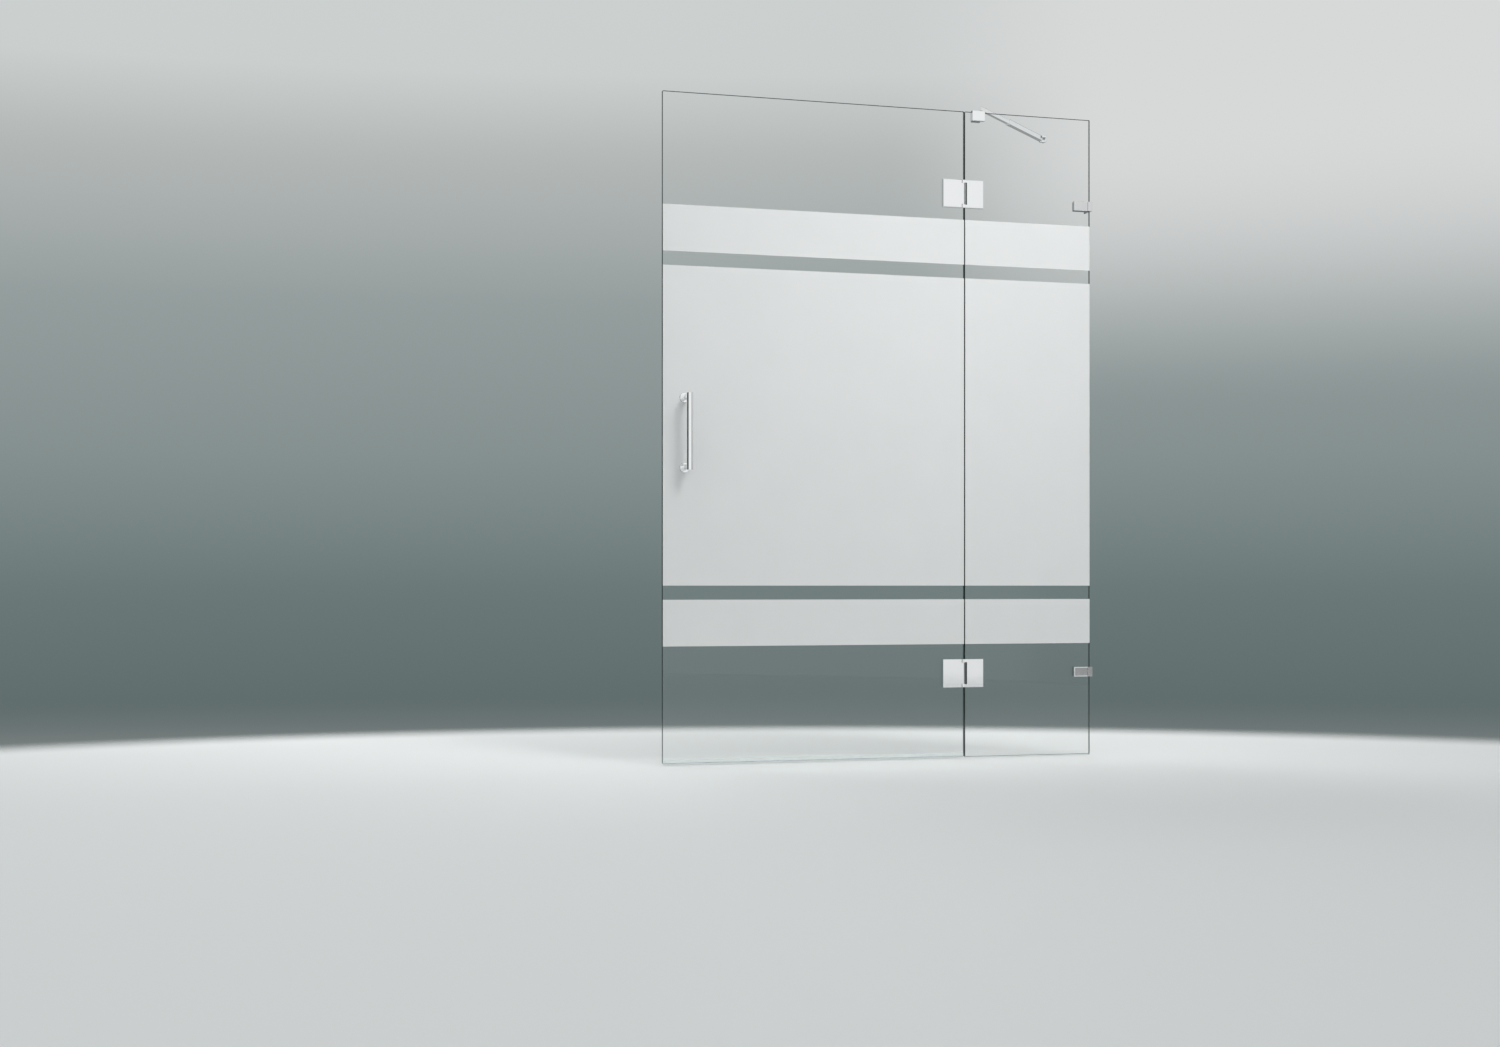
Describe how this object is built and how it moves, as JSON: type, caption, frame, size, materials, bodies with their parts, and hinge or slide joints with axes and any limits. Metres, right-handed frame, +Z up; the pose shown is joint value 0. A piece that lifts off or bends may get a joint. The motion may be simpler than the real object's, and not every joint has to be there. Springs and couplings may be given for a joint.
{
  "type": "bath screen",
  "caption": "Frameless glass bath screen: fixed panel at a wall, outward-opening hinged door with pull handle, frosted bands and a telescopic stabiliser arm.",
  "frame": {"origin": "where the wall face, the middle plane of the glass and the bath rim meet", "axes": "+X into the wall that holds the screen, -Y towards the room, +Y over the bath, +Z up"},
  "size_m": [1.046, 0.3234, 1.5154],
  "materials": {
    "clear_glass": "clear toughened glass, polished edges",
    "frosted_film": "satin white, lets light through",
    "polished_chrome": "polished",
    "stainless_steel": "satin",
    "bush_brass": "plain",
    "gasket_rubber": "matt, thin",
    "clear_seal": "clear, soft",
    "nylon": "matt white"
  },
  "bodies": {
    "fixed_panel": {"fixed_glass": "clear_glass", "fixed_frosted_bands": "frosted_film", "fixed_hole_sleeves": "nylon", "fixed_bottom_seal": "clear_seal", "upper_hinge_fixed_leaf": "polished_chrome", "upper_hinge_fixed_inner_plate": "polished_chrome", "upper_hinge_fixed_gaskets": "gasket_rubber", "upper_hinge_fixed_screws": "stainless_steel", "upper_hinge_pin": "stainless_steel", "upper_hinge_washers": "nylon", "lower_hinge_fixed_leaf": "polished_chrome", "lower_hinge_fixed_inner_plate": "polished_chrome", "lower_hinge_fixed_gaskets": "gasket_rubber", "lower_hinge_fixed_screws": "stainless_steel", "lower_hinge_pin": "stainless_steel", "lower_hinge_washers": "nylon", "upper_bracket_base": "polished_chrome", "upper_bracket_plate": "polished_chrome", "upper_bracket_gaskets": "gasket_rubber", "upper_bracket_screw": "stainless_steel", "lower_bracket_base": "polished_chrome", "lower_bracket_plate": "polished_chrome", "lower_bracket_gaskets": "gasket_rubber", "lower_bracket_screw": "stainless_steel", "arm_clamp": "polished_chrome", "arm_clamp_pads": "gasket_rubber", "arm_clamp_grub_screws": "stainless_steel", "arm_pivot_washer": "nylon", "arm_pivot_screw": "stainless_steel"},
    "door": {"door_glass": "clear_glass", "door_frosted_bands": "frosted_film", "door_hole_sleeves": "nylon", "door_bottom_seal": "clear_seal", "outer_handle": "polished_chrome", "inner_handle": "polished_chrome", "handle_washers": "polished_chrome", "handle_studs": "stainless_steel", "upper_hinge_door_leaf": "polished_chrome", "upper_hinge_door_inner_plate": "polished_chrome", "upper_hinge_door_gaskets": "gasket_rubber", "upper_hinge_door_screws": "stainless_steel", "upper_hinge_bush": "bush_brass", "lower_hinge_door_leaf": "polished_chrome", "lower_hinge_door_inner_plate": "polished_chrome", "lower_hinge_door_gaskets": "gasket_rubber", "lower_hinge_door_screws": "stainless_steel", "lower_hinge_bush": "bush_brass"},
    "arm_rod": {"arm_rod": "polished_chrome"},
    "arm_tube": {"arm_tube": "polished_chrome", "arm_lock_screw": "stainless_steel", "arm_tube_end": "polished_chrome"},
    "arm_foot": {"arm_wall_foot": "polished_chrome", "arm_foot_pin": "stainless_steel"}
  },
  "joints": [
    {"name": "door_hinge", "type": "hinge", "parent": "fixed_panel", "child": "door", "pos_m": [-0.328, -0.00825, 0.75], "axis": [0, 0, 1], "range_deg": [0, 90]},
    {"name": "arm_swivel", "type": "hinge", "parent": "fixed_panel", "child": "arm_rod", "pos_m": [-0.2853, -0.0095, 1.5073], "axis": [0, 0, 1], "range_deg": [-30, 45]},
    {"name": "arm_extend", "type": "slide", "parent": "arm_rod", "child": "arm_tube", "axis": [0.7193, 0.6947, 0], "range_m": [-0.06, 0.05]},
    {"name": "foot_swivel", "type": "hinge", "parent": "arm_tube", "child": "arm_foot", "pos_m": [-0.01, 0.25635, 1.5073], "axis": [0, 0, 1], "range_deg": [-40, 40]}
  ]
}
